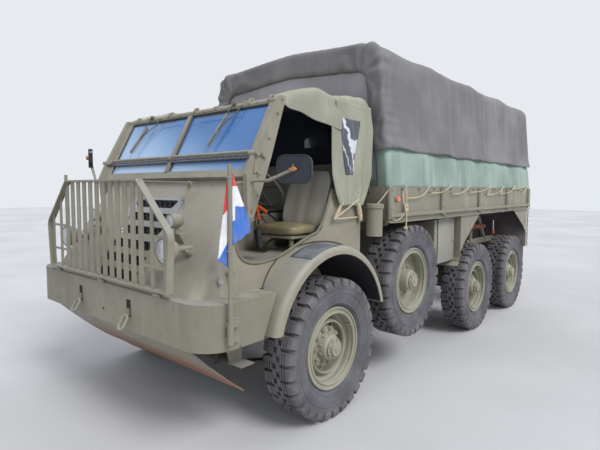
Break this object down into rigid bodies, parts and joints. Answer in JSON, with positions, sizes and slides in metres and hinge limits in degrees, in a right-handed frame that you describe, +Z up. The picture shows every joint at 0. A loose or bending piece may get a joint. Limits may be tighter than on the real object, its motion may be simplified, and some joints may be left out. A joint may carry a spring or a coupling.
{
  "type": "military cargo truck",
  "caption": "Olive snub-nosed cargo truck with raised helper wheels, folding brush guard, canvas-topped open cab and a hooped load bed under a laced canopy.",
  "frame": {"origin": "on the ground below the middle of the truck's length and width", "axes": "+X to the truck's left, +Y to the rear, +Z up"},
  "size_m": [2.691, 6.3179, 2.938],
  "materials": {
    "olive_paint": "semi-matt olive paint, dusty and worn",
    "under_paint": "dark dusty paint under the truck",
    "tyre_rubber": "chunky block tread, dusty",
    "wheel_paint": "olive paint, chipped at the nuts",
    "dark_canvas": "coarse dark canvas",
    "green_canvas": "faded green canvas",
    "sage_canvas": "faded sage canvas",
    "seat_cover": "olive ochre vinyl",
    "window_glass": "clear",
    "lamp_glass": "ribbed clear lens in a metal shell",
    "black_rubber": "matt",
    "rope": "cream laid rope",
    "flag_cloth": "light woven cloth in three plain bands"
  },
  "bodies": {
    "root": {"front_suspension": "under_paint", "chassis_frame": "under_paint", "engine_block": "under_paint", "front_bumper": "olive_paint", "tow_shackles": "olive_paint", "belly_plate": "olive_paint", "headlamps": "lamp_glass", "marker_lamps": "olive_paint", "marker_poles": "olive_paint", "flag": "flag_cloth", "cab_body": "olive_paint", "nose_panel": "olive_paint", "front_fenders": "olive_paint", "engine_cover": "olive_paint", "windscreen_frame": "olive_paint", "windscreen_glass": "window_glass", "wipers": "black_rubber", "mirrors": "black_rubber", "cab_canvas": "sage_canvas", "side_curtains": "sage_canvas", "seats": "seat_cover", "cab_controls": "black_rubber", "bed_floor": "olive_paint", "bed_sides": "olive_paint", "canopy_cover": "dark_canvas", "canopy_curtain": "green_canvas", "canopy_front": "dark_canvas", "canopy_hoops": "olive_paint", "tool_boxes": "olive_paint", "mudguards": "olive_paint", "canisters": "olive_paint", "helper_axle": "under_paint", "rear_bogie": "under_paint", "rear_axles": "under_paint", "driveline": "under_paint", "tow_coupling": "olive_paint", "lacing_tail": "rope"},
    "knuckle_left": {"knuckle_left": "under_paint"},
    "knuckle_right": {"knuckle_right": "under_paint"},
    "brush_guard": {"brush_guard": "olive_paint"},
    "tailgate": {"tailgate": "olive_paint"},
    "wheel_front_left": {"tyre_front_left": "tyre_rubber", "rim_front_left": "wheel_paint"},
    "wheel_front_right": {"tyre_front_right": "tyre_rubber", "rim_front_right": "wheel_paint"},
    "wheel_helper_left": {"tyre_helper_left": "tyre_rubber", "rim_helper_left": "wheel_paint"},
    "wheel_helper_right": {"tyre_helper_right": "tyre_rubber", "rim_helper_right": "wheel_paint"},
    "wheel_middle_left": {"tyre_middle_left": "tyre_rubber", "rim_middle_left": "wheel_paint"},
    "wheel_middle_right": {"tyre_middle_right": "tyre_rubber", "rim_middle_right": "wheel_paint"},
    "wheel_rear_left": {"tyre_rear_left": "tyre_rubber", "rim_rear_left": "wheel_paint"},
    "wheel_rear_right": {"tyre_rear_right": "tyre_rubber", "rim_rear_right": "wheel_paint"}
  },
  "joints": [
    {"name": "steer_left", "type": "hinge", "parent": "root", "child": "knuckle_left", "pos_m": [0.9, -1.971, 0.505], "axis": [0, 0, 1], "range_deg": [-28, 28]},
    {"name": "steer_right", "type": "hinge", "parent": "root", "child": "knuckle_right", "pos_m": [-0.9, -1.971, 0.505], "axis": [0, 0, 1], "range_deg": [-28, 28]},
    {"name": "tailgate_drop", "type": "hinge", "parent": "root", "child": "tailgate", "pos_m": [0, 3.099, 1.43], "axis": [-1, 0, 0], "range_deg": [0, 175]},
    {"name": "guard_fold", "type": "hinge", "parent": "root", "child": "brush_guard", "pos_m": [0, -3.095, 1.012], "axis": [1, 0, 0], "range_deg": [0, 90]},
    {"name": "spin_front_left", "type": "hinge", "parent": "knuckle_left", "child": "wheel_front_left", "pos_m": [1.05, -1.971, 0.505], "axis": [1, 0, 0], "continuous": true},
    {"name": "spin_front_right", "type": "hinge", "parent": "knuckle_right", "child": "wheel_front_right", "pos_m": [-1.05, -1.971, 0.505], "axis": [1, 0, 0], "continuous": true},
    {"name": "spin_helper_left", "type": "hinge", "parent": "root", "child": "wheel_helper_left", "pos_m": [1.05, -0.781, 0.82], "axis": [1, 0, 0], "continuous": true},
    {"name": "spin_helper_right", "type": "hinge", "parent": "root", "child": "wheel_helper_right", "pos_m": [-1.05, -0.781, 0.82], "axis": [1, 0, 0], "continuous": true},
    {"name": "spin_middle_left", "type": "hinge", "parent": "root", "child": "wheel_middle_left", "pos_m": [1.05, 0.859, 0.505], "axis": [1, 0, 0], "continuous": true},
    {"name": "spin_middle_right", "type": "hinge", "parent": "root", "child": "wheel_middle_right", "pos_m": [-1.05, 0.859, 0.505], "axis": [1, 0, 0], "continuous": true},
    {"name": "spin_rear_left", "type": "hinge", "parent": "root", "child": "wheel_rear_left", "pos_m": [1.05, 2.219, 0.505], "axis": [1, 0, 0], "continuous": true},
    {"name": "spin_rear_right", "type": "hinge", "parent": "root", "child": "wheel_rear_right", "pos_m": [-1.05, 2.219, 0.505], "axis": [1, 0, 0], "continuous": true}
  ],
  "couplings": [
    {"joint": "steer_right", "follows": "steer_left", "ratio": 1}
  ]
}
